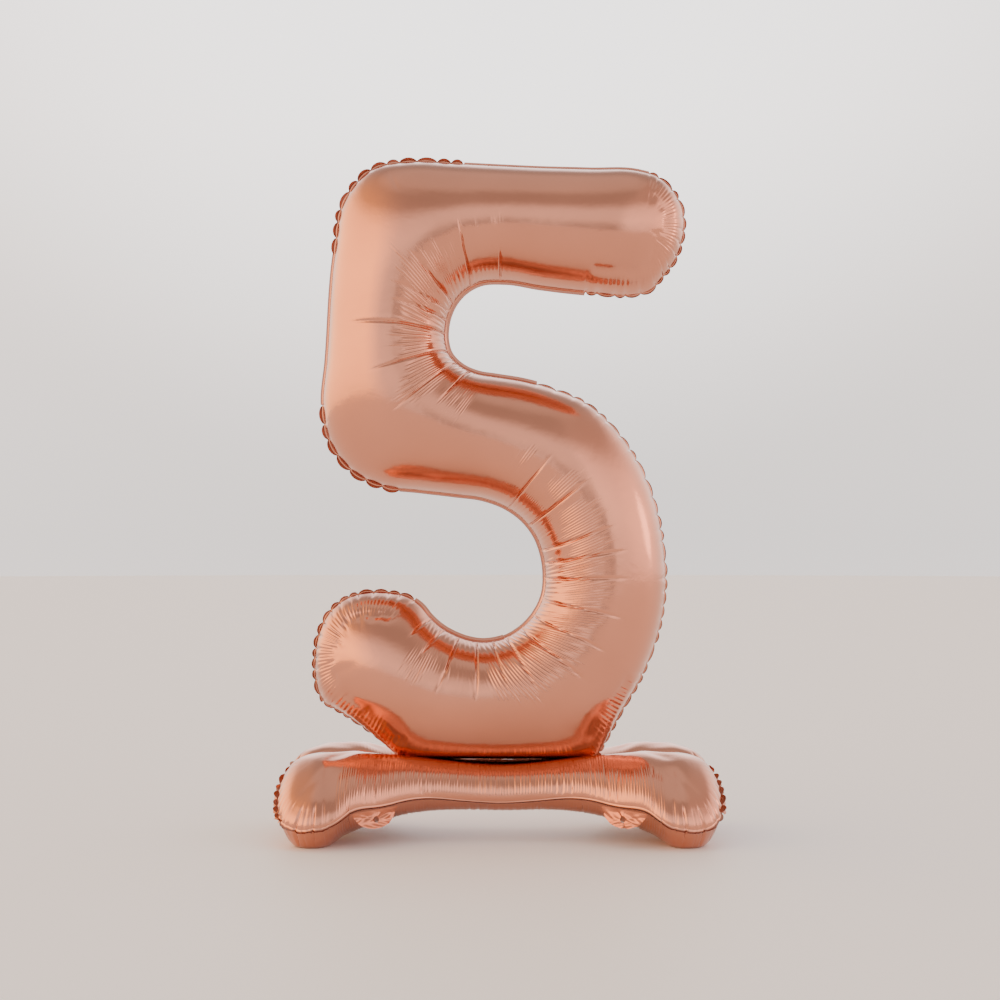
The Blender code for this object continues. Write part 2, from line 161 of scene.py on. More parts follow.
# Broad valleys: from, to, depth, width.
NUMERAL_GROOVES = [
    ((-118, 722), (-108, 696), 0.30, 3.0), ((-108, 696), (-44, 684), 0.35, 3.0),
    ((-44, 684), (-40, 716), 0.30, 2.5), ((150, 596), (172, 640), 0.8, 7.0),
    ((120, 612), (196, 650), 0.6, 9.0), ((176, 716), (152, 690), 0.7, 4.0),
    ((-148, 262), (-150, 226), 0.7, 4.0), ((-192, 176), (-150, 190), 0.6, 6.0),
    ((-150, 150), (-96, 120), 0.9, 8.0), ((112, 110), (60, 128), 0.9, 9.0),
]
# Straight and concave edges with a narrow rim: from, to, share of the full width.
NARROW_RIMS = [
    ((-178.5, 641), (-192, 471), 0.25), ((-40, 733.5), (171, 720.5), 0.45),
    ((149, 594), (8, 360), 0.7), ((-128, 384), (5, 215), 0.7),
]
# Convex edges: from, to, pitch, proud, rib depth, rib reach, tilt of the rim, gathering, width
# of the lobes.
NUMERAL_SCALLOPS = [
    ((-40, 733.5), (-178.5, 641), 18, 1.2, 0.35, 14, -1.8, 0, 1.0),
    ((-192, 471), (-110, 381), 18, 1.2, 0.35, 14, -1.8, 0, 1.0),
    ((150, 178), (40, 492), 17, 2.6, 0.6, 14, -0.4, 0, 0.4),
    ((171, 720.5), (95, 597), 15, 1.8, 0.9, 34, -0.8, 0.8, 0.6),
    ((-95, 256), (-191, 148), 14, 1.8, 0.9, 34, -1.2, 1.1, 0.7),
    ((-191, 148), (-108, 92), 12, 1.3, 0.8, 26, -0.4, 0.8, 0.6),
    ((108, 92), (150, 170), 13, 1.3, 0.8, 26, -0.4, 0.7, 0.6),
]

# Middle of the foot's outer edge, the end of its pleated stretch, and its inner edge.
FOOT_MIDDLE = (0, 66)
FOOT_PLEAT_END = (168, 124)
FOOT_INNER_MIDDLE = (0, 3)
FOOT_NARROW_RIM = 0.35     # share of the rim's full width along the pleated stretch
FOOT_NARROW_PAST = 45 * MM
FOOT_CREASES = 16
# Right paw, mirrored for the left one: creases as x, w, depth, length; grooves as from, to, depth.
PAW_CREASES = [(194, 132, 3.2, 30), (213, 128, 3.0, 28), (182, 132, 1.4, 34), (204, 132, 1.0, 30),
               (224, 118, 1.4, 30)]
PAW_GROOVES = [((120, 12), (196, 52), 2.0), ((150, 10), (214, 30), 1.2),
               ((172, 70), (214, 104), 1.2)]
PAW_GROOVE_WIDTH = 9 * MM

# Hang tab of the front right paw, mm: ends of its fold line, drop, and the hole.
TAB_ROOT = ((107.5, -80.8, 42.9), (153.5, -110.5, 38.0))
TAB_DEPTH = 20.0
TAB_HOLE = (3.6, 10.0)     # radius, drop below the fold
TAB_RAYS = 140
TAB_RINGS = 22
TAB_FOLDS = 15
STRIP_STEP = 1.2 * MM      # facet length along a sealed strip
STRIP_ROWS = 6
NECK_TUCK = 1.4 * MM       # how far the neck strip reaches up between the numeral's two films

ROSE = (0.62, 0.262, 0.17)
# Darker colour of the sealed rim: painted shade for the shaded lobes of the rim.
RIM_PAINTED_SHADE = (0.42, 0.185, 0.135, 1)
SEAM_COLOUR = (0.62, 0.28, 0.19)
TAB_COLOUR = (0.60, 0.21, 0.125)

FLOOR_RADIUS = 14
FLOOR_SIDES = 96
LIGHT_STRENGTH = 1.7
CAMERA_PLACE = (0, -2.2, 0.33)
CAMERA_LENS = 72.2304      # mm, on a sensor 36 mm wide
CAMERA_SHIFT = (0.0005, 0.034)


# ---------------------------------------------------------------- shape of filled film

def ramp(x, table):
    """Smooth interpolation of a short (position, value) table."""
    xs = np.array([p[0] for p in table], float)
    ys = np.array([p[1] for p in table], float)
    i = np.clip(np.searchsorted(xs, x, side="right") - 1, 0, len(xs) - 2)
    return ys[i] + (ys[i + 1] - ys[i]) * smooth((x - xs[i]) / (xs[i + 1] - xs[i]))


def smooth(t):
    """Ease from 0 to 1 as t goes from 0 to 1."""
    t = np.clip(t, 0.0, 1.0)
    return t * t * (3.0 - 2.0 * t)


class Loop:
    """Closed smooth curve through points, with optional sharp corners."""

    def __init__(self, points, corners=()):
        self.p = np.array(points, float)
        step = np.roll(self.p, -1, 0) - self.p
        self.length = np.linalg.norm(step, axis=1)
        after = step / self.length[:, None]
        before = np.roll(after, 1, 0)
        d0, d1 = np.roll(self.length, 1), self.length
        mean = (before * d1[:, None] + after * d0[:, None]) / (d0 + d1)[:, None]
        sharp = np.array([tuple(q) in corners for q in points])[:, None]
        self.leave = np.where(sharp, after, mean)
        self.arrive = np.where(sharp, before, mean)

    def at(self, i, f):
        """Point at fraction f of the span that starts at knot i."""
        j = (i + 1) % len(self.p)
        d = self.length[i]
        return ((2 * f**3 - 3 * f**2 + 1) * self.p[i] + (f**3 - 2 * f**2 + f) * d * self.leave[i]
                + (3 * f**2 - 2 * f**3) * self.p[j] + (f**3 - f**2) * d * self.arrive[j])


class Film:
    """Fine mesh over a stroke-shaped outline, seen as spokes that run in from the weld line."""

    def __init__(self, gates, hook, bar, corners, steps, across):
        self.points, self.faces, self.spokes = [], [], []
        n, half = len(gates), across // 2
        loop = Loop([g[0] for g in gates] + hook + [g[1] for g in gates][::-1] + bar, corners)
        total = len(loop.p)
        t = [(1 - math.cos(math.pi * j / across)) / 2 for j in range(across + 1)]
        rows, step = [], steps[0]
        for i in range(n - 1):
            step = steps.get(i, step)
            back = 2 * n - 2 + len(hook) - i
            pieces = max(2, round((loop.length[i] + loop.length[back]) / 2 / step))
            for k in range(pieces + (i == n - 2)):
                a, b = loop.at(i, k / pieces), loop.at(back, 1 - k / pieces)
                rows.append([self.add(a + (b - a) * s) for s in t])
        for r0, r1 in zip(rows, rows[1:]):
            self.faces += [(r0[j], r1[j], r1[j + 1], r0[j + 1]) for j in range(across)]
        self.rows = rows

        def fan(first, count, start, finish, centre):
            rays = [start]
            for i in range(first, first + count):
                pieces = max(2, round(loop.length[i % total] / FAN_STEP))
                for k in range(pieces):
                    if i > first or k > 0:
                        b, c = loop.at(i % total, k / pieces), self.points[centre]
                        rays.append([self.add(b + (c - b) * 2 * s) for s in t[:half]])
            rays.append(finish)
            for r0, r1 in zip(rays, rays[1:]):
                self.faces += [(r0[j], r1[j], r1[j + 1], r0[j + 1]) for j in range(half - 1)]
                self.faces.append((r0[half - 1], r1[half - 1], centre))
            return [list(r) + [centre] * (half + 1) for r in rays[1:-1]]

        last, head = rows[-1], rows[0]
        hook_rays = fan(n - 1, len(hook) + 1, last[:half], last[:half:-1], last[half])
        bar_rays = fan(total - 1 - len(bar), len(bar) + 1, head[:half:-1], head[:half],
                       head[half])
        self.points = np.array(self.points) * MM
        self.spokes = np.array([list(r) for r in rows] + hook_rays
                               + [r[::-1] for r in rows[::-1]] + bar_rays)
        self.rim = self.spokes[:, 0]
        edge = self.points[self.rim]
        run = np.linalg.norm(np.roll(edge, -1, 0) - edge, axis=1)
        self.length = run.sum()
        self.along = np.concatenate([[0.0], np.cumsum(run)[:-1]])
        self.height = self.bulge()

    def add(self, p):
        self.points.append(p)
        return len(self.points) - 1

    def bulge(self):
        """Height of the air-filled film: root of the solution of a loaded membrane."""
        quad = np.array([f for f in self.faces if len(f) == 4])
        tri = np.vstack([quad[:, [0, 1, 2]], quad[:, [0, 2, 3]],
                         np.array([f for f in self.faces if len(f) == 3])])
        p = self.points[tri]
        e = np.stack([p[:, 2] - p[:, 1], p[:, 0] - p[:, 2], p[:, 1] - p[:, 0]], 1)
        area = np.abs(e[:, 0, 0] * e[:, 1, 1] - e[:, 0, 1] * e[:, 1, 0]) / 2
        local = np.einsum("tik,tjk->tij", e, e) / (4 * area)[:, None, None]
        count = len(self.points)
        row = np.repeat(tri, 3, axis=1).ravel()
        col = np.tile(tri, (1, 3)).ravel()
        key, where = np.unique(row * count + col, return_inverse=True)
        value = np.bincount(where, local.ravel())
        row, col = key // count, key % count
        start = np.searchsorted(row, np.arange(count))
        load = np.bincount(tri.ravel(), np.repeat(2 * area / 3, 3), count)
        free = np.ones(count, bool)
        free[self.rim] = False
        diagonal = value[row == col]
        load[~free] = 0.0

        def times(x):
            y = np.add.reduceat(value * x[col], start)
            y[~free] = 0.0
            return y

        # Conjugate gradients from zero, scaled by the diagonal.
        u = np.zeros(count)
        r = load - times(u)
        z = r / diagonal
        d, rz = z.copy(), r @ z
        for _ in range(1500):
            ad = times(d)
            step = rz / (d @ ad)
            u += step * d
            r -= step * ad
            z = r / diagonal
            fresh = r @ z
            if fresh < 1e-12 * (load @ (load / diagonal)):
                break
            d = z + d * (fresh / rz)
            rz = fresh
        return np.sqrt(np.maximum(u, 0.0))

    def place(self, where):
        """Carry the film to space and measure it along its spokes."""
        self.where = where
        self.p = where(np.column_stack([self.points, self.height]))
        lifted = where(np.column_stack([self.points, self.height + 0.1 * MM]))
        self.lift = lifted - self.p
        self.normal = self.normals(self.p)
        line = self.p[self.spokes]
        run = np.linalg.norm(np.diff(line, axis=1), axis=2)
        self.depth = np.concatenate([np.zeros((len(run), 1)), np.cumsum(run, axis=1)], axis=1)
        gap = np.linalg.norm(np.roll(line, -1, 0) - np.roll(line, 1, 0), axis=2)
        self.spread = gap / np.maximum(gap[:, :1], 1e-6)
        self.offset = np.zeros(len(self.p))

    def normals(self, p):
        """Unit normal at each point, on the side that the film bulges to."""
        quad = np.array([f for f in self.faces if len(f) == 4])
        tri = np.array([f for f in self.faces if len(f) == 3])
        out = np.zeros_like(p)
        cross = np.cross(p[quad[:, 2]] - p[quad[:, 0]], p[quad[:, 3]] - p[quad[:, 1]])
        for k in range(4):
            np.add.at(out, quad[:, k], cross)
        cross = np.cross(p[tri[:, 1]] - p[tri[:, 0]], p[tri[:, 2]] - p[tri[:, 0]])
        for k in range(3):
            np.add.at(out, tri[:, k], cross)
        size = np.linalg.norm(out, axis=1)
        out = np.where((size < 1e-14)[:, None], self.lift, out)
        out /= np.linalg.norm(out, axis=1)[:, None]
        sign = np.sign(np.sum(out * self.lift, axis=1))
        return out * np.where(sign == 0, 1, sign)[:, None]

    def turn(self, place):
        """Way along the weld line from a place to each spoke, the shorter way round."""
        return (self.along - place + self.length / 2) % self.length - self.length / 2

    def find(self, point, beside=None):
        """(place on the weld line, depth along the spoke) nearest a point of the flat outline."""
        flat = self.points[self.spokes]
        away = np.linalg.norm(flat - np.asarray(point) * MM, axis=2)
        if beside is None:
            away[:, self.spokes.shape[1] // 2:] = OUT_OF_REACH
        else:
            away[np.abs(self.turn(beside)) > FIND_REACH] = OUT_OF_REACH
        k, j = np.unravel_index(np.argmin(away), away.shape)
        return self.along[k], self.depth[k, j]

    def crease(self, a, b, depth, width, fade_in, sharp=0.5, facet=0.0):
        """Valley from a to b, each (place on the weld line, depth along the spoke), in metres."""
        turn = (b[0] - a[0] + self.length / 2) % self.length - self.length / 2
        slope = turn / max(b[1] - a[1], 1e-6)
        far = self.turn(a[0])
        low, high = min(0, turn), max(0, turn)
        reach = max(5 * width, FACET_REACH * (facet > 0))
        use = np.where((far > low - reach) & (far < high + reach))[0]
        if len(use) == 0:
            return
        d = self.depth[use]
        middle = slope * (d - a[1])
        x = (far[use][:, None] - middle) * self.spread[use] / width
        span = b[1] - a[1]
        window = smooth((d - a[1]) / fade_in) * smooth((b[1] - d) / (0.35 * span))
        shape = -np.exp(-np.abs(x) / sharp) + 0.35 * np.exp(-(x / 1.6) ** 2)
        shape -= facet * np.exp(-np.abs(x) * width / FACET_FADE)
        value = depth * window * shape * smooth((self.spread[use] - CROWDED) / CROWDED)
        value[np.abs(x) > max(4, FACET_END * (facet > 0) / width)] = 0
        np.add.at(self.offset, self.spokes[use].ravel(), value.ravel())

    def ripples(self, rng, start, stop, pitch, depth, inner, outer, fade=(9, 26)):
        """Quasi-regular fine pleats at right angles to the weld line, in a band of depths."""
        marks = [0.0]
        while marks[-1] < stop - start:
            marks.append(marks[-1] + pitch * rng.uniform(*PITCH_JITTER))
        marks = np.array(marks)
        cells = len(marks) - 1
        slow = ramp(np.arange(cells), [(k, rng.uniform(*ROW_SIZE_JITTER))
                                       for k in range(0, cells + 9, 8)])
        size = depth * slow * rng.uniform(*SIZE_JITTER, cells)
        near = inner * rng.uniform(*START_JITTER, cells)
        far = outer * ramp(np.arange(cells), [(k, rng.uniform(*ROW_END_JITTER))
                                              for k in range(0, cells + 7, 6)])
        far = far * rng.uniform(*END_JITTER, cells)
        along = np.broadcast_to(((self.along - start) % self.length)[:, None], self.depth.shape)
        d = self.depth
        along = along + 0.5 * MM * np.sin(d / (14 * MM) + along / (17 * MM))
        k = np.searchsorted(marks, along, side="right") - 1
        use = (k >= 0) & (k < cells)
        k = np.where(use, k, 0)
        t = np.clip((along - marks[k]) / (marks[k + 1] - marks[k]), 0, 1)
        window = smooth((d - near[k]) / (fade[0] * MM)) * smooth((far[k] - d) / (fade[1] * MM))
        ends = smooth(along / ROW_END_FADE) * smooth((marks[-1] - along) / ROW_END_FADE)
        value = size[k] * window * ends * (np.sin(math.pi * t) ** 1.2 - 0.5)
        value = value * use * smooth((self.spread - CROWDED) / CROWDED)
        np.add.at(self.offset, self.spokes.ravel(), value.ravel())

    def scallops(self, rng, start, stop, pitch, proud, rib, rib_reach, tilt=0.0, gather=0.0,
                 lobe=1.0):
        """Puckered convex edge: the rim stands out in lobes, and ribs run in from the pinches."""
        pinch = [0.0]
        while pinch[-1] < stop - start:
            pinch.append(pinch[-1] + pitch * rng.uniform(0.7, 1.35))
        for p0, p1 in zip(pinch, pinch[1:]):
            far = (self.along - start - p0) % self.length
            use = np.where(far < p1 - p0)[0]
            t = far[use] / (p1 - p0)
            arch = np.sin(math.pi * t) ** 0.5
            size = rng.uniform(0.6, 1.25)
            self.trim[use] = (0.15 + (0.85 + 0.2 * abs(tilt)) * arch) * lobe
            self.ruffle[use] = size * (tilt * arch + rng.uniform(-0.3, 0.3) * np.sin(math.pi * t))
            d = self.depth[use]
            self.out[use] += proud * size * (arch - 0.6)
            fade = np.exp(-(d / (0.6 * rib_reach)) ** 2)
            value = rib * size * (arch[:, None] - 0.6) * fade * smooth(d / (5 * MM))
            np.add.at(self.offset, self.spokes[use].ravel(), value.ravel())
        if gather:
            # A puffed and pleated band along the rim, with a fold behind it.
            self.ripples(rng, start, start + pinch[-1], GATHER_PITCH, 0.85 * gather,
                         GATHER_START, GATHER_STOP, (8, 5))
            run = (self.along - start) % self.length
            inside = smooth(run / (12 * MM)) * smooth((pinch[-1] - run) / (12 * MM))
            ring = (FOLD_DEPTH + 3 * np.sin(run / (15 * MM)) + 1.4 * np.sin(run / (4.7 * MM))) * MM
            away = (self.depth - ring[:, None]) / MM
            value = 1.6 * np.exp(-((self.depth / MM - PUFF_DEPTH) / PUFF_WIDTH) ** 2)
            value -= 3.4 * np.exp(-np.abs(away) / FOLD_WIDTH)
            value *= gather * inside[:, None]
            np.add.at(self.offset, self.spokes.ravel(), value.ravel())
        for place in pinch:
            b = rib_reach * rng.uniform(0.7, 1.6)
            place = (start + place) % self.length
            self.crease((place, 0.0), ((place + rng.normal(0, 0.06) * b) % self.length, b),
                        rib * rng.uniform(0.5, 1.2), 2.6 * MM * rng.uniform(0.8, 1.3), 3 * MM)

    def rim_parts(self):
        """Start the rim: how far it stands out, how it waves, and its share of the full width."""
        self.out = np.full(len(self.along), RIM_OUT)
        self.ruffle = np.zeros(len(self.along))
        self.trim = np.ones(len(self.along))

    def finish(self, limit, side, width=None):
        """Points and faces of the finished skin, with its rim."""
        edge = self.points[self.rim]
        tangent = np.roll(edge, -1, 0) - np.roll(edge, 1, 0)
        out = np.stack([tangent[:, 1], -tangent[:, 0]], 1)
        out /= np.linalg.norm(out, axis=1)[:, None]
        turn = np.sum(edge[:, 0] * np.roll(edge[:, 1], -1) - np.roll(edge[:, 0], -1) * edge[:, 1])
        out *= np.sign(turn)
        here = self.where(np.column_stack([edge, np.zeros(len(edge))]))
        there = self.where(np.column_stack([edge + out * MM, np.zeros(len(edge))]))
        outward = (there - here) / MM
        up = self.lift[self.rim]
        up /= np.linalg.norm(up, axis=1)[:, None]
        width = (np.full(len(edge), FLANGE) if width is None else width) * self.trim
        fade = np.exp(-self.depth / RIM_FADE)
        push = np.zeros_like(self.p)
        move = self.out[:, None, None] * fade[:, :, None] * outward[:, None, :]
        np.add.at(push, self.spokes.ravel(), move.reshape(-1, 3))
        p = self.p + push + self.normal * self.offset[:, None]
        parts, faces, ring = [p], list(self.faces), self.rim
        size = len(self.rim)
        for k, f in enumerate(FLANGE_ROWS):
            lift = up * (RUFFLE * side * self.ruffle * f ** 1.3)[:, None]
            parts.append(p[self.rim] + outward * (width * f)[:, None] + lift)
            start = len(self.p) + k * size
            fresh = np.arange(start, start + size)
            after = np.roll(np.arange(size), -1)
            faces += [(int(ring[i]), int(fresh[i]), int(fresh[j]), int(ring[j]))
                      for i, j in zip(range(size), after)]
            ring = fresh
        return limit(np.vstack(parts)), faces


def mesh_object(name, verts, faces, mat, outward=None, sealed_from=None):
    """Mesh piece; points from number sealed_from on are the heat-sealed rim, which gets a painted
    shade.
    """
    mesh = bpy.data.meshes.new(name)
    mesh.from_pydata(np.asarray(verts, float).tolist(), [], faces)
    # Mask of the rim points, which carry the painted shade.
    if sealed_from is not None:
        sealed = mesh.attributes.new("sealed", "FLOAT", "POINT")
        sealed.data.foreach_set("value", np.arange(len(verts)) >= sealed_from)
    mesh.polygons.foreach_set("use_smooth", [True] * len(mesh.polygons))
    mesh.materials.append(mat)
    mesh.update()
    obj = bpy.data.objects.new(name, mesh)
    bpy.context.scene.collection.objects.link(obj)
    if outward is not None:
        normal = np.array([p.normal for p in mesh.polygons])
        centre = np.array([p.center for p in mesh.polygons])
        if np.sum(outward(centre) * normal) < 0:
            mesh.flip_normals()
    return obj


# ---------------------------------------------------------------- materials

def foil_material(name, colour, rough, seed):
    """Metallised film: bright, with a fine crinkle, faint cloudiness and painted shade on the
    sealed rim.
    """
    mat = bpy.data.materials.new(name)
    mat.use_nodes = True
    nodes, links = mat.node_tree.nodes, mat.node_tree.links
    shader = nodes["Principled BSDF"]
    shader.inputs["Metallic"].default_value = 1.0
    coord = nodes.new("ShaderNodeTexCoord")

    def noise_node(scale, detail, distortion=0.0):
        node = nodes.new("ShaderNodeTexNoise")
        node.noise_dimensions = "4D"
        node.inputs["W"].default_value = seed
        node.inputs["Scale"].default_value = scale
        node.inputs["Detail"].default_value = detail
        node.inputs["Distortion"].default_value = distortion
        links.new(coord.outputs["Object"], node.inputs["Vector"])
        return node

    cloud = noise_node(9.0, 4.0)
    tint = nodes.new("ShaderNodeValToRGB")
    tint.color_ramp.elements[0].position = 0.3
    tint.color_ramp.elements[0].color = (*[c * 0.93 for c in colour], 1)
    tint.color_ramp.elements[1].position = 0.7
    tint.color_ramp.elements[1].color = (*[min(1, c * 1.04) for c in colour], 1)
    links.new(cloud.outputs["Fac"], tint.inputs["Fac"])
    # The sealed rim's points take a darker base colour: painted shade.
    sealed = nodes.new("ShaderNodeAttribute")
    sealed.attribute_name = "sealed"
    rim_shade = nodes.new("ShaderNodeMix")
    rim_shade.data_type = "RGBA"
    rim_shade.inputs["B"].default_value = RIM_PAINTED_SHADE
    links.new(sealed.outputs["Fac"], rim_shade.inputs["Factor"])
    links.new(tint.outputs["Color"], rim_shade.inputs["A"])
    links.new(rim_shade.outputs["Result"], shader.inputs["Base Color"])
    haze = noise_node(60.0, 3.0)
    spread = nodes.new("ShaderNodeMapRange")
    spread.inputs["To Min"].default_value = rough * 0.75
    spread.inputs["To Max"].default_value = rough * 1.3
    links.new(haze.outputs["Fac"], spread.inputs["Value"])
    links.new(spread.outputs["Result"], shader.inputs["Roughness"])
    fine = noise_node(420.0, 3.0, 0.6)
    broad = noise_node(55.0, 2.0, 0.3)
    height = nodes.new("ShaderNodeMath")
    height.operation = "MULTIPLY_ADD"
    height.inputs[1].default_value = 0.16
    links.new(fine.outputs["Fac"], height.inputs[0])
    links.new(broad.outputs["Fac"], height.inputs[2])
    bump = nodes.new("ShaderNodeBump")
    bump.inputs["Strength"].default_value = 0.22
    bump.inputs["Distance"].default_value = 0.0012
    links.new(height.outputs["Value"], bump.inputs["Height"])
    links.new(bump.outputs["Normal"], shader.inputs["Normal"])
    return mat


foil = foil_material("rose_gold_film", ROSE, 0.155, 1.0)


# ---------------------------------------------------------------- numeral

def numeral_where(side):
    """Carry a film point (x, z, height) to space on one side of the weld plane."""
    def where(q):
        low = 1 - ramp((q[:, 1] - NUMERAL_FOOT_Z) / MM, [(0, 0.0), (60, 1.0)])
        sag = NUMERAL_SAG * low * ramp(q[:, 2] / MM, [(1, 0.0), (22, 1.0)])
        return np.column_stack([q[:, 0], side * (q[:, 2] + FILM_GAP), q[:, 1] - sag])
    return where


def stretch(film, p, q):
    """The shorter way along the weld line between two outline points, as (start, stop)."""
    a, b = film.find(p)[0], film.find(q)[0]
    if (b - a) % film.length > film.length / 2:
        a, b = b, a
    return a, a + (b - a) % film.length


def wrinkle_numeral(film, rng, rim_rng):
    """Pleats, long creases, grooves and the puckered rim of one numeral film."""
    film.rim_parts()
    for p, q, pitch, depth, inner, outer in NUMERAL_PLEATS:
        film.ripples(rng, *stretch(film, p, q), pitch * MM, PLEAT_DEPTH * depth * MM,
                     (inner + PLEAT_START) * MM, outer * MM, (26, 9))
    for p, q in BAY_EDGES:
        film.ripples(rng, *stretch(film, p, q), 4.6 * MM, 0.7 * MM, 9 * MM, 50 * MM, (6, 14))
    for a, b in LONG_CREASES:
        sa = film.find(a)[0]
        sb, db = film.find(b, sa)
        film.crease((sa, 8 * MM), (sb, db * rng.uniform(1.0, 1.08)), rng.uniform(2.2, 3.2) * MM,
                    rng.uniform(2.3, 3.2) * MM, 8 * MM, 0.4, 0.4)
    for p, q, deep, wide in NUMERAL_GROOVES:
        groove(film, p, q, deep * MM, wide * MM)
    for p, q, narrow in NARROW_RIMS:
        start, stop = stretch(film, p, q)
        film.trim[(film.along - start) % film.length < stop - start] = narrow
    for p, q, pitch, proud, rib, reach, tilt, gather, lobe in NUMERAL_SCALLOPS:
        film.scallops(rim_rng, *stretch(film, p, q), pitch * MM, proud * MM, rib * MM,
                      reach * MM, tilt, gather * MM, lobe)


def build_numeral():
    """The numeral's two films. Both have the same rim, so it takes the same seed."""
    for name, node, side, seed in (("numeral_front_skin", "number_front_foil", -1, 5),
                                   ("numeral_back_skin", "number_back_foil", 1, 17)):
        film = Film(NUMERAL_GATES, NUMERAL_HOOK_END, NUMERAL_BAR_END, NUMERAL_CORNERS,
                    NUMERAL_STEPS, NUMERAL_ACROSS)
        film.place(numeral_where(side))
        wrinkle_numeral(film, np.random.default_rng(seed), np.random.default_rng(3))

        def limit(p, side=side):
            q = p.copy()
            slope = NUMERAL_CLEAR_SLOPE[side]
            q[:, 2] = np.maximum(q[:, 2], NUMERAL_FOOT_Z + slope * np.abs(q[:, 1]))
            return q

        verts, faces = film.finish(limit, side)
        obj = mesh_object(name, verts, faces, foil,
                          lambda c, side=side: np.tile([0, side, 0], (len(c), 1)), len(film.p))
        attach(obj, "numeral")
        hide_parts(node)


# ---------------------------------------------------------------- foot

def foot_where(side, film):
    """Carry a film point (x, w, height) to space: side -1 is the front, film -1 the lower one."""
    def where(q):
        x, w, h = q[:, 0], q[:, 1], (q[:, 2] + FILM_GAP) * film
        tilt = np.radians(ramp(np.abs(x) / MM, FOOT_SLOPE))
        out = w * np.cos(tilt) + h * np.sin(tilt)
        up = WELD_Z - w * np.sin(tilt) + h * np.cos(tilt)
        return np.column_stack([x, side * out, up])
    return where


def foot_outline():
    """Gates from left to right, then the rounded ends of the right and the left paw."""
    right = [((x, w), (ix, NECK_EDGE / MM)) for (x, w), ix in zip(FOOT_OUTER, FOOT_INNER_X)]
    left = [((-x, w), (-ix, e)) for (x, w), (ix, e) in right[:0:-1]]
    return left + right, FOOT_PAW_END, [(-x, w) for x, w in FOOT_PAW_END[::-1]]


def build_foot():
    """Both cushions of the foot, with a top and a bottom film each."""
    gates, right_end, left_end = foot_outline()
    base = Film(gates, right_end, left_end, set(), FOOT_STEPS, FOOT_ACROSS)
    free = base.height
    x, w = np.abs(base.points[:, 0]) / MM, base.points[:, 1] / MM
    near = np.clip((w - NECK_EDGE / MM) / FOOT_PINCH_REACH, 0.0, 1.0)
    pinch = 1 - (1 - np.sqrt(near)) * ramp(x, FOOT_PINCH)
    width = FLANGE * ramp(base.points[base.rim][:, 1] / MM, FOOT_RIM_WIDTH)
    for number, (end, side, label, film) in enumerate((("front", -1, "top", 1),
                                                       ("front", -1, "bottom", -1),
                                                       ("rear", 1, "top", 1),
                                                       ("rear", 1, "bottom", -1))):
        rng = np.random.default_rng(40 + number)
        full = ramp(x, FOOT_TOP_FULL if film > 0 else FOOT_BOTTOM_FULL)
        if film > 0 and side > 0:
            full = full * ramp(x, REAR_TOP_EXTRA)
        base.height = free * pinch * full
        base.place(foot_where(side, film))
        wrinkle_foot(base, rng, np.random.default_rng(60 + side), film > 0)

        def limit(p, side=side):
            q = p.copy()
            q[:, 2] = np.maximum(q[:, 2], 0.0)
            q[:, 1] = side * np.maximum(side * q[:, 1], CENTRE_CLEAR)
            return q

        verts, faces = base.finish(limit, film, width)
        obj = mesh_object(f"foot_{end}_{label}_skin", verts, faces, foil,
                          lambda c, f=film: np.tile([0, 0, f], (len(c), 1)), len(base.p))
        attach(obj, "foot")
        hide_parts(f"{end}_base_{label}_foil")


def wrinkle_foot(film, rng, rim_rng, top):
    """Pleats along the middle, and the creases and puckered rim of both paws."""
    film.rim_parts()
    middle = film.find(FOOT_MIDDLE)[0]
    reach = abs((film.find(FOOT_PLEAT_END)[0] - middle + film.length / 2) % film.length
                - film.length / 2)
    a, b = middle - reach, middle + reach
    film.trim[np.abs(film.turn(middle)) < reach + FOOT_NARROW_PAST] = FOOT_NARROW_RIM
    film.ripples(rng, a - 8 * MM, b + 8 * MM, 3.1 * MM, 1.15 * MM, 5 * MM, 72 * MM, (6, 16))
    film.ripples(rng, a, b, 8.0 * MM, 0.45 * MM, 8 * MM, 66 * MM, (10, 20))
    for _ in range(FOOT_CREASES):
        place = rng.uniform(a, b)
        film.crease((place, 3 * MM), (place + rng.normal(0, 4) * MM, rng.uniform(45, 66) * MM),
                    rng.uniform(0.8, 1.5) * MM, rng.uniform(1.8, 2.8) * MM, 6 * MM, 0.35, 0.35)
    inner = film.find(FOOT_INNER_MIDDLE)[0]
    if top:
        film.ripples(rng, inner - 190 * MM, inner + 190 * MM, 3.4 * MM, 0.5 * MM, 9 * MM,
                     34 * MM, (8, 16))
    for s in (-1, 1):
        film.scallops(rim_rng, *stretch(film, (s * 228, 112), (s * 222, 14)), 15 * MM,
                      1.8 * MM, 0.9 * MM, 18 * MM, -1.8 if top else 1.8)
        film.scallops(rim_rng, *stretch(film, (s * 170, 126), (s * 228, 112)), 20 * MM,
                      0.6 * MM, 0.7 * MM, 24 * MM)
        for x, w, deep, far in PAW_CREASES:
            place = film.find((s * x, w))[0]
            film.crease((place, -2 * MM), (place + rng.normal(0, 1.5) * MM, far * MM), deep * MM,
                        2.2 * MM, 3 * MM, 0.4, 0.5)
        if top:
            for p, q, deep in PAW_GROOVES:
                groove(film, (s * p[0], p[1]), (s * q[0], q[1]), deep * MM, PAW_GROOVE_WIDTH)


def groove(film, p, q, depth, width):
    """Broad rounded valley between two points of the flat outline."""
    p, q = np.array(p) * MM, np.array(q) * MM
    along = (q - p) / np.linalg.norm(q - p)
    rel = film.points - p
    u = rel @ along / np.linalg.norm(q - p)
    v = rel @ np.array([-along[1], along[0]])
    fade = smooth(u / 0.3) * smooth((1 - u) / 0.3)
    film.offset -= depth * fade * np.exp(-(np.abs(v) / width) ** 1.3)


# ---------------------------------------------------------------- small pieces

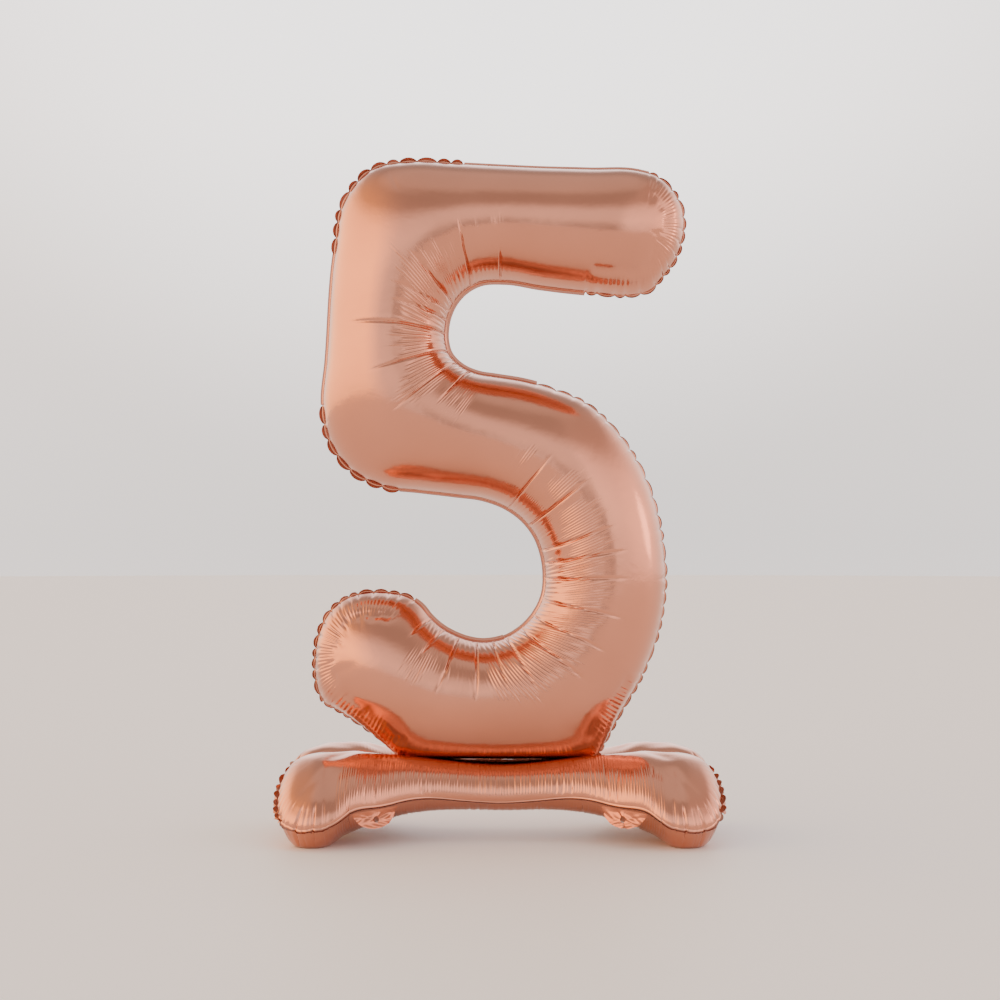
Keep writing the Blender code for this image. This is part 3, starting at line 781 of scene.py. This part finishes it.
def build_tab(name, sign, side, mat, seed):
    """Half-round film tab with a punched hole, creased and a little curled."""
    rng = np.random.default_rng(seed)
    a, b = (np.array(p) * MM * (sign, -side, 1) for p in TAB_ROOT)
    middle, along = (a + b) / 2, b - a
    half = np.linalg.norm(along) / 2
    along /= 2 * half
    down = np.array([0, 0, -1.0]) + along * along[2]
    down /= np.linalg.norm(down)
    face = np.cross(along, down)
    face *= -1 if face[1] * side < 0 else 1
    radius, drop = (v * MM for v in TAB_HOLE)
    folds = [(rng.uniform(0, 2 * math.pi), rng.uniform(0.3, 1.0), rng.uniform(0.08, 0.2))
             for _ in range(TAB_FOLDS)]
    verts = []
    for i in range(TAB_RAYS):
        t = 2 * math.pi * i / TAB_RAYS
        ray = np.array([math.cos(t), math.sin(t)])
        # Distance from the hole's middle to the fold line or to the half ellipse.
        qa = (ray[0] / half) ** 2 + (ray[1] / (TAB_DEPTH * MM)) ** 2
        qb = 2 * drop * ray[1] / (TAB_DEPTH * MM) ** 2
        qc = (drop / (TAB_DEPTH * MM)) ** 2 - 1
        far = (-qb + math.sqrt(qb * qb - 4 * qa * qc)) / (2 * qa)
        if ray[1] < -1e-6:
            far = min(far, -drop / ray[1])
        crumple = sum(h * math.exp(-abs((t - at + math.pi) % (2 * math.pi) - math.pi) / w)
                      for at, h, w in folds)
        for k in range(TAB_RINGS + 1):
            r = radius + (far - radius) * k / TAB_RINGS
            u, v = ray[0] * r, drop + ray[1] * r
            free = smooth(v / (7 * MM))
            lift = -1.5 * MM * free * crumple * (k / TAB_RINGS) ** 0.8
            lift += free * 0.5 * MM * math.sin(u / (3.1 * MM) + 2.0 * math.sin(v / (2.6 * MM)))
            curl = free * (v / (TAB_DEPTH * MM)) ** 2 * 3.5 * MM
            verts.append(middle + along * u * (1 - 0.05 * free) + down * (v - 0.3 * curl)
                         + face * (lift + curl))
    n = TAB_RINGS + 1
    faces = [(i * n + k, j * n + k, j * n + k + 1, i * n + k + 1)
             for i, j in zip(range(TAB_RAYS), [*range(1, TAB_RAYS), 0]) for k in range(TAB_RINGS)]
    obj = mesh_object(name + "_skin", verts, faces, mat,
                      lambda c: np.tile([0, side, 0.2], (len(c), 1)))
    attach(obj, "tab_" + name.split("_hang")[0])
    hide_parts(name)


def build_strip(name, mat, seed):
    """Upright sealed strip on the centre line, a little wavy along its length."""
    rng = np.random.default_rng(seed)
    low, high = (list(corner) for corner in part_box(name))
    columns, rows = int((high[0] - low[0]) / STRIP_STEP), STRIP_ROWS
    if name.startswith("neck"):
        high[2] += NECK_TUCK
    phase = rng.uniform(0, 6, 3)
    verts = []
    for i in range(columns + 1):
        x = low[0] + (high[0] - low[0]) * i / columns
        wave = math.sin(x / 0.011 + phase[0]) + 0.6 * math.sin(x / 0.0043 + phase[1])
        for j in range(rows + 1):
            f = j / rows
            top = high[2] - 0.5 * MM * (1 + math.sin(x / 0.0067 + phase[2])) * (f == 1)
            verts.append((x, 0.35 * MM * wave * f, low[2] + (top - low[2]) * f))
    faces = [(i * (rows + 1) + j, (i + 1) * (rows + 1) + j, (i + 1) * (rows + 1) + j + 1,
              i * (rows + 1) + j + 1) for i in range(columns) for j in range(rows)]
    obj = mesh_object(name + "_skin", verts, faces, mat)
    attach(obj, "foot")
    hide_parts(name)


def build_small_parts():
    """Four hang tabs, three sealed strips, and the valve films in their CAD shape."""
    seam = foil_material("seam_film_bright", SEAM_COLOUR, 0.26, 7.0)
    tab = foil_material("tab_film_rose", TAB_COLOUR, 0.2, 9.0)
    for number, (end, side) in enumerate((("front", -1), ("rear", 1))):
        for label, sign in (("left", -1), ("right", 1)):
            build_tab(f"{end}_{label}_hang_tab", sign, side, tab, 70 + 2 * number + sign)
    for number, name in enumerate(("neck_weld_strip", "base_centre_seam_left",
                                   "base_centre_seam_right")):
        build_strip(name, seam, 80 + number)
    valve = valve_material()
    for name in ("number_valve_front_film", "number_valve_back_film",
                 "base_valve_top_film", "base_valve_bottom_film"):
        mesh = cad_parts[name].data
        mesh.materials.clear()
        mesh.materials.append(valve)


def valve_material():
    """Cloudy clear film of the self-sealing sleeves."""
    mat = bpy.data.materials.new("valve_clear_film")
    mat.use_nodes = True
    nodes, links = mat.node_tree.nodes, mat.node_tree.links
    shader = nodes["Principled BSDF"]
    coord = nodes.new("ShaderNodeTexCoord")
    cloud = nodes.new("ShaderNodeTexNoise")
    cloud.inputs["Scale"].default_value = 90.0
    cloud.inputs["Detail"].default_value = 4.0
    links.new(coord.outputs["Object"], cloud.inputs["Vector"])
    tint = nodes.new("ShaderNodeValToRGB")
    tint.color_ramp.elements[0].color = (0.70, 0.69, 0.67, 1)
    tint.color_ramp.elements[1].color = (0.86, 0.85, 0.83, 1)
    links.new(cloud.outputs["Fac"], tint.inputs["Fac"])
    links.new(tint.outputs["Color"], shader.inputs["Base Color"])
    bump = nodes.new("ShaderNodeBump")
    bump.inputs["Distance"].default_value = 0.0004
    links.new(cloud.outputs["Fac"], bump.inputs["Height"])
    links.new(bump.outputs["Normal"], shader.inputs["Normal"])
    shader.inputs["Roughness"].default_value = 0.35
    return mat


# ---------------------------------------------------------------- stage, light, camera

def build_stage():
    """A wide plain floor."""
    mesh = bpy.data.meshes.new("studio_floor")
    turns = [2 * math.pi * k / FLOOR_SIDES for k in range(FLOOR_SIDES)]
    rim = [(FLOOR_RADIUS * math.cos(t), FLOOR_RADIUS * math.sin(t), 0) for t in turns]
    mesh.from_pydata(rim, [], [tuple(range(FLOOR_SIDES))])
    floor = bpy.data.objects.new("studio_floor", mesh)
    bpy.context.scene.collection.objects.link(floor)
    mat = bpy.data.materials.new("white_studio_floor")
    mat.use_nodes = True
    shader = mat.node_tree.nodes["Principled BSDF"]
    shader.inputs["Base Color"].default_value = (0.92, 0.925, 0.94, 1)
    shader.inputs["Roughness"].default_value = 0.6
    mesh.materials.append(mat)


def build_light():
    """A surrounding soft studio: pale all round, warm at the left, dim above."""
    world = bpy.data.worlds.new("studio")
    world.use_nodes = True
    nodes, links = world.node_tree.nodes, world.node_tree.links
    nodes["Background"].inputs["Strength"].default_value = LIGHT_STRENGTH
    coord = nodes.new("ShaderNodeTexCoord")
    split = nodes.new("ShaderNodeSeparateXYZ")
    links.new(coord.outputs["Generated"], split.inputs["Vector"])

    def profile(socket, stops):
        """Colour by a direction component that runs from -1 to 1."""
        span = nodes.new("ShaderNodeMapRange")
        span.inputs["From Min"].default_value = -1.0
        links.new(split.outputs[socket], span.inputs["Value"])
        band = nodes.new("ShaderNodeValToRGB")
        marks = band.color_ramp.elements
        for k, (at, *colour) in enumerate(stops):
            mark = marks[k] if k < 2 else marks.new((at + 1) / 2)
            mark.position = (at + 1) / 2
            mark.color = (*colour, 1)
        links.new(span.outputs["Result"], band.inputs["Fac"])
        return band.outputs["Color"]

    height = profile("Z", ((-1.0, 0.6, 0.6, 0.6), (-0.2, 0.9, 0.88, 0.87), (0.0, 0.86, 0.84, 0.83),
                           (0.2, 1.12, 1.05, 1.0), (0.46, 0.95, 0.9, 0.88),
                           (0.66, 0.42, 0.40, 0.39), (0.84, 0.40, 0.39, 0.38),
                           (0.94, 0.62, 0.6, 0.58), (1.0, 0.62, 0.61, 0.6)))
    sideways = profile("X", ((-1.0, 2.2, 1.5, 0.86), (-0.72, 2.2, 1.5, 0.86),
                             (-0.5, 1.5, 1.2, 0.95), (-0.32, 1.05, 0.96, 0.92),
                             (0.0, 0.95, 0.9, 0.88), (0.4, 1.0, 0.94, 0.92),
                             (0.5, 1.25, 1.12, 1.07), (0.8, 1.25, 1.08, 1.02),
                             (1.0, 1.5, 1.22, 1.1)))
    dark = profile("X", ((-1.0, 0, 0, 0), (0.03, 0, 0, 0), (0.10, 0.58, 0.57, 0.55),
                         (0.17, 0.58, 0.57, 0.55), (0.21, 0.36, 0.35, 0.34),
                         (0.26, 0.62, 0.61, 0.59), (0.38, 0.60, 0.59, 0.57),
                         (0.46, 0, 0, 0), (1.0, 0, 0, 0)))
    low = profile("Z", ((-1.0, 0.8, 0.8, 0.8), (0.03, 0.8, 0.8, 0.8), (0.24, 0.25, 0.25, 0.25),
                        (0.5, 0, 0, 0), (1.0, 0, 0, 0)))
    front = profile("Y", ((-1.0, 1, 1, 1), (-0.5, 1, 1, 1), (-0.2, 0, 0, 0), (1.0, 0, 0, 0)))

    def combine(a, b, operation="MULTIPLY"):
        node = nodes.new("ShaderNodeVectorMath")
        node.operation = operation
        links.new(a, node.inputs[0])
        links.new(b, node.inputs[1])
        return node.outputs["Vector"]

    total = combine(height, sideways)
    shade = combine(combine(dark, low), front)
    total = combine(total, combine(total, shade), "SUBTRACT")
    # Soft bright patches: direction, cosines where it starts and is full, colour.
    patches = (((0.98, 0.15, 0.2), 0.985, 0.995, (1.6, 1.1, 0.9)),
               ((0.0, 1.0, 0.45), 0.915, 0.99, (0.60, 0.64, 0.68)))
    for toward, outer, inner, colour in patches:
        dot = nodes.new("ShaderNodeVectorMath")
        dot.operation = "DOT_PRODUCT"
        dot.inputs[1].default_value = Vector(toward).normalized()
        links.new(coord.outputs["Generated"], dot.inputs[0])
        mask = nodes.new("ShaderNodeMapRange")
        mask.interpolation_type = "SMOOTHSTEP"
        mask.inputs["From Min"].default_value = outer
        mask.inputs["From Max"].default_value = inner
        links.new(dot.outputs["Value"], mask.inputs["Value"])
        glow = nodes.new("ShaderNodeVectorMath")
        glow.operation = "SCALE"
        glow.inputs[0].default_value = colour
        links.new(mask.outputs["Result"], glow.inputs["Scale"])
        join = nodes.new("ShaderNodeVectorMath")
        links.new(total, join.inputs[0])
        links.new(glow.outputs["Vector"], join.inputs[1])
        total = join.outputs["Vector"]
    links.new(total, nodes["Background"].inputs["Color"])
    bpy.context.scene.world = world


def build_camera():
    """Level camera in front, shifted so that the object sits where the photograph has it."""
    data = bpy.data.cameras.new("camera")
    data.lens_unit = "MILLIMETERS"
    data.sensor_width = 36.0
    data.lens = CAMERA_LENS
    data.shift_x, data.shift_y = CAMERA_SHIFT
    obj = bpy.data.objects.new("camera", data)
    obj.location = CAMERA_PLACE
    obj.rotation_euler = (math.radians(90), 0, 0)
    bpy.context.scene.collection.objects.link(obj)
    bpy.context.scene.camera = obj


build_numeral()
build_foot()
build_small_parts()
build_stage()
build_light()
build_camera()
